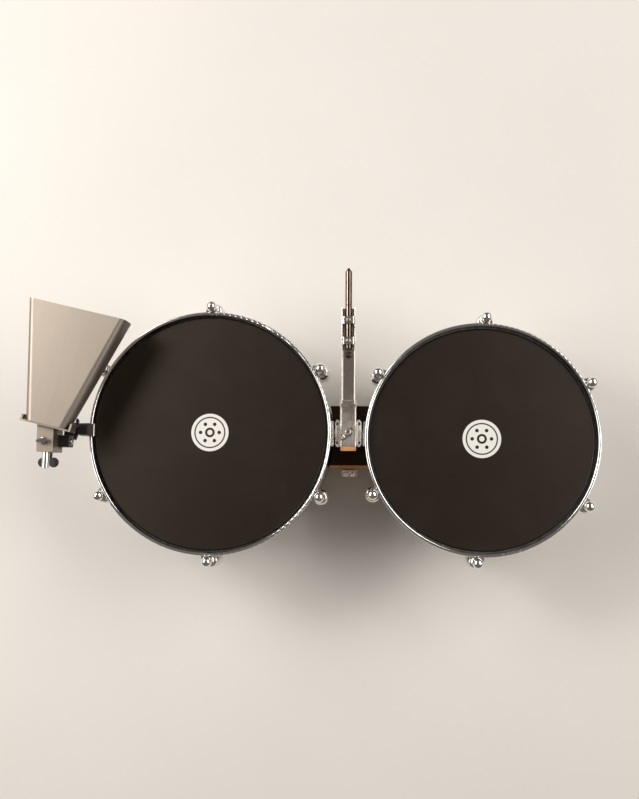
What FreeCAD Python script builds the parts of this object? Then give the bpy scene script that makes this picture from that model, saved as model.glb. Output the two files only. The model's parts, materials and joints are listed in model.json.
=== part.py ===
import FreeCAD, Part
import math
import os

# A pair of timbales on their centre clamp, with an accessory arm and a cowbell.
# Frame: origin at the mouth of the stand-post socket on the floor plane, +X towards the small
# drum, +Y away from the player, +Z up. All sizes are millimetres.

VEC = FreeCAD.Vector
UP = VEC(0, 0, 1)
ORIGIN = VEC(0, 0, 0)

# --- driving dimensions: drums -------------------------------------------------------------
HEAD_Z = 165.0            # bearing edge of both shells, which is the shell depth
SHELL_T = 1.5
FOOT_R = 3.0              # how far the turned lower edge stands out
BEAD_R = 2.5              # how far a stiffening bead stands out
BEAD_Z = (58.0, 78.0)
EDGE_IN = 2.0             # the playing surface starts this far inside the shell's outside
FILM_T = 0.5
COLLAR_GAP = 0.15         # film's collar to the shell's outside
HOOP_DEEP = 14.0          # the flesh hoop's lower side, below the playing surface
HOOP_OUT = 5.2            # and its outside, from the shell
LUG_COUNT = 6
LUG_PHASE = 30.0          # the clamp faces the gap between two lugs
LUG_Z = (92.0, 138.0)
LUG_SCREW_Z = (104.0, 125.0)
BRACKET_SCREW_Z = (108.0, 141.0)
BRACKET_SPREAD = 4.2      # degrees from the drum's centre line to each row of bracket screws
SCREW_R = 2.5
SCREW_HOLE_R = 2.7
ROLL_OUT = 5.2            # rim's rolled edge, from its inner wall outwards
ROD_R = 3.0
BALL_R = 8.3
BALL_CLEAR = 0.3          # tuning ball to rolled edge
RUN = 0.05                # radial clearance of a shaft that turns or slides
HINGE_X = 21.0            # the two upright hinge pins of the drums
HINGE_R = 3.0
DRUMS = {
    "left": {"radius": 177.8, "centre": VEC(-210.4, 0, 0), "side": -1, "rim_gap": 2.2, "set": 0.0},
    "right": {"radius": 166.5, "centre": VEC(199.9, 0, 0), "side": 1, "rim_gap": 3.0, "set": -2.7},
}

# --- driving dimensions: centre clamp and block ---------------------------------------------
CLAMP_TOP = 150.0
CLAMP_BOTTOM = 112.0
CLAMP_HALF_X = 19.8
CLAMP_HALF_Y = 18.0
KNUCKLE_R = 5.6
STUD_X = 9.0              # studs and wall screws of the block
STUD_R = 3.0
WALL_SCREW_Z = 84.0
FRONT_BOARD_T = 2.2
BLOCK_TOP = 100.0
BLOCK_HALF_X = 37.5       # before the drums' hollows are cut
BLOCK_HALF_Y = 47.0
BLOCK_GAP = 8.5           # block's hollow sides to the plain shell wall
POST_R = 12.75            # socket for a 25.4 mm stand post
POST_DEPTH = 75.0

# --- driving dimensions: accessory arm ------------------------------------------------------
CHANNEL_T = 1.2
BASE_HALF_X = 12.0
BASE_WALL_Z = 161.0
BASE_Y = (-20.5, 50.0)
ARM_HALF_X = 10.4
ARM_FLOOR_Z = 151.6
ARM_WALL_Z = 163.0
ARM_END_Y = 193.0
FOLD_Y = 44.0             # folding pin between the two channels
FOLD_Z = 157.0
FOLD_PIN_R = 2.5
ARM_ROD_R = 5.25          # both accessory rods are 10.5 mm
ARM_ROD_Y = (129.0, 255.8)
ARM_ROD_Z = 158.2
ROD_POINT = 6.0           # length of the rod's pointed tip
ROD_MARK_Y = 196.0        # turned depth mark, where the free end of the rod begins
SADDLE_Y = (141.0, 173.0)
SADDLE_TOP = 166.4
STOP_Y = 120.5            # big screw that stops the rod
WING_Y = 1.0

# --- driving dimensions: cowbell ------------------------------------------------------------
BELL_CLOSED = VEC(-441.6, 6.8, 235.0)
BELL_YAW = -13.4
BELL_LENGTH = 177.0
BELL_MOUTH = (151.0, 42.0)        # width and depth at the open end
BELL_CLOSED_SIZE = (64.5, 28.0)
BELL_SOFT = (11.0, 8.0)           # corner radius at the closed end and at the mouth
BELL_T = 1.5
FLANGE_HALF = 39.0
BOX_X = (-456.0, -431.2)
BOX_Y = (-33.0, 8.0)
BOX_Z = (186.0, 226.0)
BELL_ROD = VEC(-445.5, 0, 214.5)
BELL_ROD_Y = (-57.0, -4.5)
KNOB = VEC(-449.3, -33.0, 193.0)
PIVOT = VEC(0, 2.4, 189.5)
LINK_SCREW = VEC(0, -16.5, 195.0)
LINK_FACE = -414.8        # outer side of the tilter's arm
PINCH_Z = 161.5


# --- helpers --------------------------------------------------------------------------------
def rounded_outline(points, radii):
    """Closed face in the XY plane whose corners are rounded by tangent arcs."""
    count = len(points)
    corners = [VEC(x, y, 0) for x, y in points]
    spans = []
    for index, corner in enumerate(corners):
        before = (corners[index - 1] - corner).normalize()
        after = (corners[(index + 1) % count] - corner).normalize()
        radius = radii[index]
        if radius <= 0:
            spans.append((corner, None, corner))
            continue
        half = before.getAngle(after) / 2
        reach = radius / math.tan(half)
        bisector = (before + after).normalize()
        middle = corner + bisector * (radius / math.sin(half) - radius)
        spans.append((corner + before * reach, middle, corner + after * reach))
    edges = []
    for index, (start, middle, end) in enumerate(spans):
        if middle is not None:
            edges.append(Part.Arc(start, middle, end).toShape())
        following = spans[(index + 1) % count][0]
        if (following - end).Length > 1e-6:
            edges.append(Part.LineSegment(end, following).toShape())
    return Part.Face(Part.Wire(edges))


def stand_up(shape):
    """Turn a shape drawn in XY so that its Y becomes Z."""
    turned = shape.copy()
    turned.rotate(ORIGIN, VEC(1, 0, 0), 90)
    return turned


def prism_z(points, radii, z_low, z_high):
    """Outline in XY, pulled from z_low to z_high."""
    solid = rounded_outline(points, radii).extrude(VEC(0, 0, z_high - z_low))
    solid.translate(VEC(0, 0, z_low))
    return solid


def prism_y(points, radii, y_low, y_high):
    """Outline in XZ, pulled from y_low to y_high."""
    solid = stand_up(rounded_outline(points, radii)).extrude(VEC(0, y_high - y_low, 0))
    solid.translate(VEC(0, y_low, 0))
    return solid


def prism_x(points, radii, x_low, x_high):
    """Outline in YZ, pulled from x_low to x_high."""
    face = stand_up(rounded_outline(points, radii))
    face.rotate(ORIGIN, UP, 90)
    solid = face.extrude(VEC(x_high - x_low, 0, 0))
    solid.translate(VEC(x_low, 0, 0))
    return solid


def turned(points, radii=None):
    """Ring or knob turned about Z from an (r, z) outline."""
    face = stand_up(rounded_outline(points, radii or [0] * len(points)))
    return face.revolve(ORIGIN, UP, 360)


def box(x, y, z):
    return Part.makeBox(x[1] - x[0], y[1] - y[0], z[1] - z[0], VEC(x[0], y[0], z[0]))


def rod(radius, start, end):
    return Part.makeCylinder(radius, (end - start).Length, start, end - start)


def rectangle(half_x, half_y):
    return [(-half_x, -half_y), (half_x, -half_y), (half_x, half_y), (-half_x, half_y)]


def around(shape, angle, centre=ORIGIN):
    copy = shape.copy()
    copy.rotate(centre, UP, angle)
    return copy


def shifted(shape, offset):
    copy = shape.copy()
    copy.translate(offset)
    return copy


def aimed(shape, base, direction):
    """Move a shape built along +Z so that it starts at base and points along direction."""
    copy = shape.copy()
    copy.Placement = FreeCAD.Placement(base, FreeCAD.Rotation(UP, direction)).multiply(copy.Placement)
    return copy


def save(node, shapes):
    """Write one node; a list becomes a group of separate solids."""
    solids = []
    for shape in shapes if isinstance(shapes, list) else [shapes]:
        solids.extend(shape.Solids)
    for solid in solids:
        if not solid.isValid() or solid.Volume <= 0:
            raise ValueError("bad solid in " + node)
    whole = solids[0] if len(solids) == 1 else Part.makeCompound(solids)
    whole.exportStep(os.path.join("parts", node + ".step"))
    print(node, len(solids), round(whole.Volume))


def dome_screw(head_r, head_h, shank_r, shank_length):
    """Button-head screw: head above z = 0, shank below it, one solid."""
    head = turned([(0, 0), (head_r, 0), (head_r, head_h * 0.45), (head_r * 0.55, head_h), (0, head_h)],
                  [0, 0, head_h * 0.35, head_h * 0.4, 0])
    socket = turned([(0, head_h * 0.45), (head_r * 0.32, head_h * 0.45), (head_r * 0.32, head_h * 2),
                     (0, head_h * 2)])
    shank = rod(shank_r, VEC(0, 0, -shank_length), VEC(0, 0, 0))
    return head.cut(socket).fuse(shank).removeSplitter()


def wing_grip(span, height, thickness, hub_r, hub_h, bore_r=0.0, dish_r=0.0):
    """Wing nut or wing-screw head built on z = 0, wings along X."""
    half = span / 2
    foot = hub_h * 0.30
    outline = [(-hub_r * 0.7, foot), (hub_r * 0.7, foot), (half, foot + height * 0.30),
               (half, height), (half * 0.55, height), (hub_r * 0.5, hub_h * 0.80),
               (-hub_r * 0.5, hub_h * 0.80), (-half * 0.55, height), (-half, height),
               (-half, foot + height * 0.30)]
    soft = height * 0.16
    radii = [0.5, 0.5, soft, soft, soft, 1.0, 1.0, soft, soft, soft]
    wings = prism_y(outline, radii, -thickness / 2, thickness / 2)
    hub = turned([(0, 0), (hub_r, 0), (hub_r * 0.82, hub_h), (0, hub_h)], [0, 0.4, 0.8, 0])
    grip = hub.fuse(wings)
    if dish_r > 0:
        grip = grip.cut(rod(dish_r, VEC(0, 0, hub_h * 0.72), VEC(0, 0, hub_h * 2)))
    if bore_r > 0:
        grip = grip.cut(rod(bore_r, VEC(0, 0, -hub_h), VEC(0, 0, hub_h * 2)))
    return grip.removeSplitter()


def lobed_grip(reach, lobe_r, height, thickness, hub_r, hub_h):
    """Moulded wing-screw head on z = 0: a hub with one round lobe on each side, along X."""
    grip = turned([(0, 0), (hub_r, 0), (hub_r * 0.85, hub_h), (0, hub_h)], [0, 0.5, 1.5, 0])
    for side in (-1, 1):
        middle = VEC(side * (reach - lobe_r), 0, height - lobe_r)
        across = VEC(0, thickness / 2, 0)
        lobe = rod(lobe_r, middle - across, middle + across)
        grip = grip.fuse(lobe.makeFillet(thickness * 0.3, [edge for edge in lobe.Edges if edge.Closed]))
    return grip.removeSplitter()


# --- one drum -------------------------------------------------------------------------------
def shell_solid(radius):
    """Rolled steel shell: turned foot, two stiffening beads, rounded bearing edge."""
    outer = [(radius + FOOT_R, 0), (radius + FOOT_R, 4.5), (radius, 8.5)]
    outer_soft = [0.8, 1.5, 3.0]
    inner = [(radius - SHELL_T, 0)]
    inner_soft = [0.5]
    for z in BEAD_Z:
        outer += [(radius, z - 5.5), (radius + BEAD_R, z - 1.5), (radius + BEAD_R, z + 1.5), (radius, z + 5.5)]
        outer_soft += [3.0, 1.6, 1.6, 3.0]
        inner += [(radius - SHELL_T, z - 5.5), (radius + BEAD_R - SHELL_T, z - 1.5),
                  (radius + BEAD_R - SHELL_T, z + 1.5), (radius - SHELL_T, z + 5.5)]
        inner_soft += [3.0, 1.0, 1.0, 3.0]
    outer += [(radius, HEAD_Z - 2.4), (radius - EDGE_IN, HEAD_Z)]
    outer_soft += [1.0, 0.4]
    inner += [(radius - SHELL_T, HEAD_Z - 7.0), (radius - EDGE_IN - 2.0, HEAD_Z - 4.0),
              (radius - EDGE_IN - 2.0, HEAD_Z)]
    inner_soft += [1.0, 0.8, 0.3]
    return turned(outer + inner[::-1], outer_soft + inner_soft[::-1])


def head_solid(radius):
    """Plastic film: flat playing surface, turned over the edge and down to the flesh hoop."""
    collar = radius + COLLAR_GAP
    top = HEAD_Z + FILM_T
    points = [(0, HEAD_Z), (radius - EDGE_IN + 0.1, HEAD_Z), (collar, HEAD_Z - 2.3),
              (collar, HEAD_Z - HOOP_DEEP), (collar + FILM_T, HEAD_Z - HOOP_DEEP),
              (collar + FILM_T, HEAD_Z - 2.0),
              (radius - EDGE_IN + 0.3, top), (0, top)]
    return turned(points, [0, 0.4, 0.8, 0, 0, 1.2, 0.8, 0])


def flesh_hoop_solid(radius):
    """Metal hoop that the film is glued to; the rim presses it down."""
    inner = radius + COLLAR_GAP + FILM_T
    outer = radius + HOOP_OUT
    points = [(inner, HEAD_Z - HOOP_DEEP), (outer, HEAD_Z - HOOP_DEEP), (outer, HEAD_Z - 8),
              (inner, HEAD_Z - 8)]
    return turned(points, [0, 1.0, 1.0, 0])


def lug_angles():
    return [LUG_PHASE + 360.0 / LUG_COUNT * index for index in range(LUG_COUNT)]


def rod_circle(drum):
    """Radius of the circle on which a drum's tension rods stand."""
    return drum["radius"] + drum["rim_gap"] + ROLL_OUT + BALL_R + BALL_CLEAR


def rim_solid(radius, gap, ear_x):
    """Steel counter hoop: wall, rolled top edge and one ear for each tension rod."""
    wall_in = radius + gap
    wall_out = wall_in + 1.8
    roll_out = wall_in + ROLL_OUT
    top = HEAD_Z + 8.5
    points = [(wall_in, HEAD_Z - 8), (wall_out, HEAD_Z - 8), (wall_out, top - 4.6), (roll_out, top - 4.6),
              (roll_out, top), (wall_in, top)]
    rim = turned(points, [0.5, 0.5, 0.8, 2.2, 2.2, 2.2])
    outline = [(wall_in + 0.6, -11), (ear_x + 3.5, -8.5), (ear_x + 8, 0), (ear_x + 3.5, 8.5),
               (wall_in + 0.6, 11)]
    ear = prism_z(outline, [0, 6.5, 4.0, 6.5, 0], HEAD_Z - 5.0, HEAD_Z - 2.2)
    rib = prism_y([(wall_in + 0.6, HEAD_Z - 8), (wall_out + 2.5, HEAD_Z - 8), (ear_x - 4, HEAD_Z - 5),
                   (wall_in + 0.6, HEAD_Z - 5)], [0, 0, 0, 0], -2, 2)
    hole = rod(ROD_R + 0.5, VEC(ear_x, 0, HEAD_Z - 20), VEC(ear_x, 0, HEAD_Z + 20))
    for angle in lug_angles():
        rim = rim.fuse(around(ear.fuse(rib).cut(hole), angle))
    return rim.removeSplitter()


def lug_solid(radius, rod_x):
    """Tube lug: rounded upright casing with a threaded socket, cut hollow to lie on its gasket."""
    low, high = LUG_Z
    barrel = turned([(0, low), (9.0, low), (12.0, low + 5), (12.0, high - 6), (9.0, high), (0, high)],
                    [0, 3, 4, 4, 3, 0])
    barrel = shifted(barrel, VEC(rod_x, 0, 0))
    web = prism_z([(radius - 3, -10), (rod_x, -10), (rod_x, 10), (radius - 3, 10)], [0] * 4, low + 5, high - 6)
    casing = barrel.fuse(web)
    casing = casing.cut(rod(radius + 1.0, VEC(0, 0, 80), VEC(0, 0, 150)))
    casing = casing.cut(rod(ROD_R + RUN, VEC(rod_x, 0, 104), VEC(rod_x, 0, 150)))
    for z in LUG_SCREW_Z:
        casing = casing.cut(rod(SCREW_R, VEC(radius - 5, 0, z), VEC(radius + 7.5, 0, z)))
    return casing.removeSplitter()


def gasket_solid(radius):
    """Black rubber sheet between lug and shell."""
    pad = prism_x([(-11, 96), (11, 96), (11, 133), (-11, 133)], [3, 3, 3, 3], radius - 5, radius + 6)
    pad = pad.common(rod(radius + 0.95, VEC(0, 0, 80), VEC(0, 0, 150)))
    pad = pad.cut(rod(radius + 0.05, VEC(0, 0, 80), VEC(0, 0, 150)))
    for z in LUG_SCREW_Z:
        pad = pad.cut(rod(SCREW_HOLE_R, VEC(radius - 5, 0, z), VEC(radius + 8, 0, z)))
    return pad


def inner_screw(radius, z, reach):
    """Screw whose head lies inside the shell and whose shank points outwards."""
    screw = dome_screw(4.5, 2.6, SCREW_R - RUN, reach)
    return aimed(screw, VEC(radius - SHELL_T - 0.15, 0, z), VEC(-1, 0, 0))


def wall_holes(radius, angle, heights):
    """Screw holes through a shell wall, in one upright row."""
    row = [rod(SCREW_HOLE_R, VEC(radius - 5, 0, z), VEC(radius + 5, 0, z)) for z in heights]
    return around(Part.makeCompound(row), angle)


def build_drum(name, drum):
    """One drum with its head, hoop, tuning hardware and the bracket that carries it."""
    radius = drum["radius"]
    side = drum["side"]
    pivot = VEC(side * HINGE_X, 0, 0)

    def placed(shape):
        return around(shifted(shape, drum["centre"]), drum["set"], pivot)

    facing = 0.0 if side < 0 else 180.0
    bracket_angles = (facing - BRACKET_SPREAD, facing + BRACKET_SPREAD)
    rods = rod_circle(drum)
    shell = shell_solid(radius)
    for angle in lug_angles():
        shell = shell.cut(wall_holes(radius, angle, LUG_SCREW_Z))
    for angle in bracket_angles:
        shell = shell.cut(wall_holes(radius, angle, BRACKET_SCREW_Z))
    save(name + "_shell", placed(shell))
    save(name + "_head", placed(head_solid(radius)))
    save(name + "_flesh_hoop", placed(flesh_hoop_solid(radius)))
    save(name + "_rim", placed(rim_solid(radius, drum["rim_gap"], rods)))

    tension_rod = rod(ROD_R, VEC(rods, 0, 106), VEC(rods, 0, HEAD_Z + 9))
    tension_rod = tension_rod.makeChamfer(0.8, [tension_rod.Edges[0], tension_rod.Edges[2]])
    washer = turned([(ROD_R + 0.2, HEAD_Z - 2.2), (7.2, HEAD_Z - 2.2), (7.2, HEAD_Z - 0.8),
                     (ROD_R + 0.2, HEAD_Z - 0.8)], [0, 0.3, 0.5, 0])
    ball = Part.makeSphere(BALL_R, VEC(0, 0, HEAD_Z + 7.6))
    collar = turned([(0, HEAD_Z - 0.8), (6.4, HEAD_Z - 0.8), (6.4, HEAD_Z + 1.2), (5.4, HEAD_Z + 3),
                     (0, HEAD_Z + 3)], [0, 0.3, 0.6, 0.5, 0])
    nut = ball.fuse(collar).cut(box((-10, 10), (-10, 10), (HEAD_Z - 10, HEAD_Z - 0.8)))
    nut = nut.cut(rod(ROD_R + RUN, VEC(0, 0, HEAD_Z - 10), VEC(0, 0, HEAD_Z + 9.2))).removeSplitter()
    on_rod = VEC(rods, 0, 0)
    groups = {
        "_lugs": [lug_solid(radius, rods)],
        "_lug_gaskets": [gasket_solid(radius)],
        "_lug_screws": [inner_screw(radius, z, 8.5) for z in LUG_SCREW_Z],
        "_tension_rods": [tension_rod],
        "_rod_washers": [shifted(washer, on_rod)],
        "_ball_nuts": [shifted(nut, on_rod)],
    }
    for suffix, pieces in groups.items():
        save(name + suffix, [placed(around(piece, angle)) for angle in lug_angles() for piece in pieces])

    screws = [inner_screw(radius, z, 5.0) for z in BRACKET_SCREW_Z]
    save(name + "_bracket_screws",
         [placed(around(screw, angle)) for angle in bracket_angles for screw in screws])
    save(name + "_shell_bracket", around(shell_bracket(drum), drum["set"], pivot))


def shell_bracket(drum):
    """Cast bracket on a shell: saddle, top flange and two hinge knuckles."""
    side = drum["side"]
    wall = rod(drum["radius"] + 0.1, drum["centre"] + VEC(0, 0, 50), drum["centre"] + VEC(0, 0, 200))
    edge = HINGE_X + 1.1
    deep = 42.0
    ring = [(edge, -19), (deep, -19), (deep, 19), (edge, 19)]
    flange = prism_z(ring, [2, 0, 0, 2], 146, 149.5)
    saddle = prism_z([(29.5, -19), (deep, -19), (deep, 19), (29.5, 19)], [2, 0, 0, 2], 100, 146)
    bracket = flange.fuse(saddle)
    for low, high in ((101.0, 112.0), (134.0, 145.0)):
        eye = rod(KNUCKLE_R, VEC(HINGE_X, 0, low), VEC(HINGE_X, 0, high))
        tail = box((HINGE_X, 34), (-KNUCKLE_R, KNUCKLE_R), (low, high))
        bracket = bracket.fuse(eye.fuse(tail))
    bracket = bracket.cut(rod(HINGE_R + RUN, VEC(HINGE_X, 0, 90), VEC(HINGE_X, 0, 146)))
    if side < 0:
        bracket = bracket.mirror(ORIGIN, VEC(1, 0, 0))
    bracket = bracket.cut(wall)
    facing = 0.0 if side < 0 else 180.0
    for angle in (facing - BRACKET_SPREAD, facing + BRACKET_SPREAD):
        for z in BRACKET_SCREW_Z:
            hole = rod(SCREW_R, VEC(drum["radius"] - 5, 0, z), VEC(drum["radius"] + 4.6, 0, z))
            bracket = bracket.cut(shifted(around(hole, angle), drum["centre"]))
    return bracket.removeSplitter()


# --- centre clamp and block -----------------------------------------------------------------
def build_centre():
    """Block under the clamp, its front fittings, the clamp itself and its two cheeks."""
    block = prism_z(rectangle(BLOCK_HALF_X, BLOCK_HALF_Y), [0] * 4, 0, BLOCK_TOP)
    for drum in DRUMS.values():
        keep_out = rod(drum["radius"] + BLOCK_GAP, drum["centre"] - UP, drum["centre"] + UP * 200)
        block = block.cut(around(keep_out, drum["set"], VEC(drum["side"] * HINGE_X, 0, 0)))
    block = block.cut(rod(POST_R, VEC(0, 0, -1), VEC(0, 0, POST_DEPTH)))
    face = -BLOCK_HALF_Y
    front = face - FRONT_BOARD_T
    for x in (-STUD_X, STUD_X):
        block = block.cut(rod(SCREW_R + RUN, VEC(x, face - 1, WALL_SCREW_Z), VEC(x, face + 18, WALL_SCREW_Z)))
        block = block.cut(rod(STUD_R + RUN, VEC(x, 0, 82), VEC(x, 0, BLOCK_TOP + 1)))
    save("centre_block", block)
    board = prism_z([(-31.5, front), (31.5, front), (31.5, face), (-31.5, face)], [0.8, 0.8, 0, 0], 0,
                    BLOCK_TOP)
    for x in (-STUD_X, STUD_X):
        board = board.cut(rod(2.6, VEC(x, front - 3, WALL_SCREW_Z), VEC(x, face + 1, WALL_SCREW_Z)))
    save("block_front_board", board)

    pad = prism_x([(front - 3.6, 66), (front, 66), (front, 98), (front - 3.6, 98)], [1, 0, 0, 1], -12.6,
                  12.6)
    ledge = [(front - 3.6, 66), (front - 3.6, 97), (front - 15.0, 97), (front - 15.0, 94), (front - 6.6, 94),
             (front - 6.6, 66)]
    bracket = prism_x(ledge, [0, 2, 1, 1, 2, 1], -11.8, 11.8)
    for x in (-STUD_X, STUD_X):
        clear = rod(2.6, VEC(x, front - 10, WALL_SCREW_Z), VEC(x, front + 1, WALL_SCREW_Z))
        pad = pad.cut(clear)
        bracket = bracket.cut(clear)
    ledge_bolts = []
    for x in (-5.4, 5.4):
        hole = rod(2.6, VEC(x, front - 11.4, 90), VEC(x, front - 11.4, 99))
        bracket = bracket.cut(hole)
        stud = dome_screw(3.4, 3.2, SCREW_R, 9.0)
        ledge_bolts.append(shifted(stud, VEC(x, front - 11.4, 97)))
    save("front_pad", pad)
    save("front_bracket", bracket.removeSplitter())
    wall_screw = dome_screw(4.2, 2.6, SCREW_R, 24.0)
    wall_screws = [aimed(wall_screw, VEC(x, front - 6.6, WALL_SCREW_Z), VEC(0, -1, 0))
                   for x in (-STUD_X, STUD_X)]
    save("front_bracket_screws", wall_screws + ledge_bolts)

    body = prism_z(rectangle(CLAMP_HALF_X, CLAMP_HALF_Y), [3, 3, 3, 3], CLAMP_BOTTOM, CLAMP_TOP)
    for side in (-1, 1):
        for low, high in ((100.0, 112.4), (133.6, CLAMP_TOP - 3.6)):
            body = body.cut(rod(6.2, VEC(side * HINGE_X, 0, low), VEC(side * HINGE_X, 0, high)))
        knuckle = rod(KNUCKLE_R, VEC(side * HINGE_X, 0, 112.4), VEC(side * HINGE_X, 0, 133.6))
        body = body.fuse(knuckle)
        body = body.cut(rod(HINGE_R, VEC(side * HINGE_X, 0, 90), VEC(side * HINGE_X, 0, CLAMP_TOP - 3.6)))
        body = body.cut(rod(STUD_R + RUN, VEC(side * STUD_X, 0, 111), VEC(side * STUD_X, 0, 140)))
    neck = prism_z(rectangle(15.5, 14.0), [4, 4, 4, 4], BLOCK_TOP, CLAMP_BOTTOM)
    for side in (-1, 1):
        neck = neck.cut(rod(6.4, VEC(side * HINGE_X, 0, 90), VEC(side * HINGE_X, 0, 120)))
        neck = neck.cut(rod(STUD_R + RUN, VEC(side * STUD_X, 0, 90), VEC(side * STUD_X, 0, 120)))
    body = body.fuse(neck)
    body = body.cut(rod(3.0 + RUN, VEC(0, WING_Y, 128), VEC(0, WING_Y, CLAMP_TOP + 1)))
    save("clamp_body", body.removeSplitter())
    save("block_studs", [rod(STUD_R, VEC(x, 0, 83), VEC(x, 0, 139)) for x in (-STUD_X, STUD_X)])
    save("hinge_pins", [rod(HINGE_R, VEC(side * HINGE_X, 0, BLOCK_TOP + 0.4), VEC(side * HINGE_X, 0, 145.8))
                        for side in (-1, 1)])

    cheeks = []
    rivets = []
    for side in (-1, 1):
        x_in = side * (BASE_HALF_X + 0.2)
        x_out = side * CLAMP_HALF_X
        low, high = min(x_in, x_out), max(x_in, x_out)
        plan = [(low, -CLAMP_HALF_Y), (high, -CLAMP_HALF_Y), (high, CLAMP_HALF_Y), (low, CLAMP_HALF_Y)]
        cheek = prism_z(plan, [1.2] * 4, CLAMP_TOP, 155.0)
        rail_x = (low, low + 2.6) if side > 0 else (high - 2.6, high)
        rail = box(rail_x, (-CLAMP_HALF_Y, CLAMP_HALF_Y), (155.0, 159.5))
        ear_mid = side * (BASE_HALF_X + 3.6)
        for end in (-1, 1):
            tab = prism_z([(ear_mid - 2.8, end * 17), (ear_mid + 2.8, end * 17), (ear_mid + 2.8, end * 20.6),
                           (ear_mid - 2.8, end * 20.6)], [0, 0, 1.4, 1.4], CLAMP_TOP, 154.0)
            cheek = cheek.fuse(tab)
            spot = VEC(side * (BASE_HALF_X + 4.9), end * 14.5, 0)
            cheek = cheek.cut(rod(1.3, spot + UP * 149, spot + UP * 156))
            rivets.append(shifted(dome_screw(1.9, 1.1, 1.25, 4.9), spot + UP * 155.0))
        cheeks.append(cheek.fuse(rail).removeSplitter())
    save("clamp_cheeks", cheeks)
    save("cheek_rivets", rivets)


# --- accessory arm --------------------------------------------------------------------------
def channel(half_x, floor_z, wall_z, y_low, y_high):
    """Folded steel channel, open at the top, along Y."""
    inner = half_x - CHANNEL_T
    lip = floor_z + CHANNEL_T
    points = [(-half_x, floor_z), (half_x, floor_z), (half_x, wall_z), (inner, wall_z), (inner, lip),
              (-inner, lip), (-inner, wall_z), (-half_x, wall_z)]
    return prism_y(points, [2.0, 2.0, 0.5, 0.5, 0.9, 0.9, 0.5, 0.5], y_low, y_high)


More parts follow.
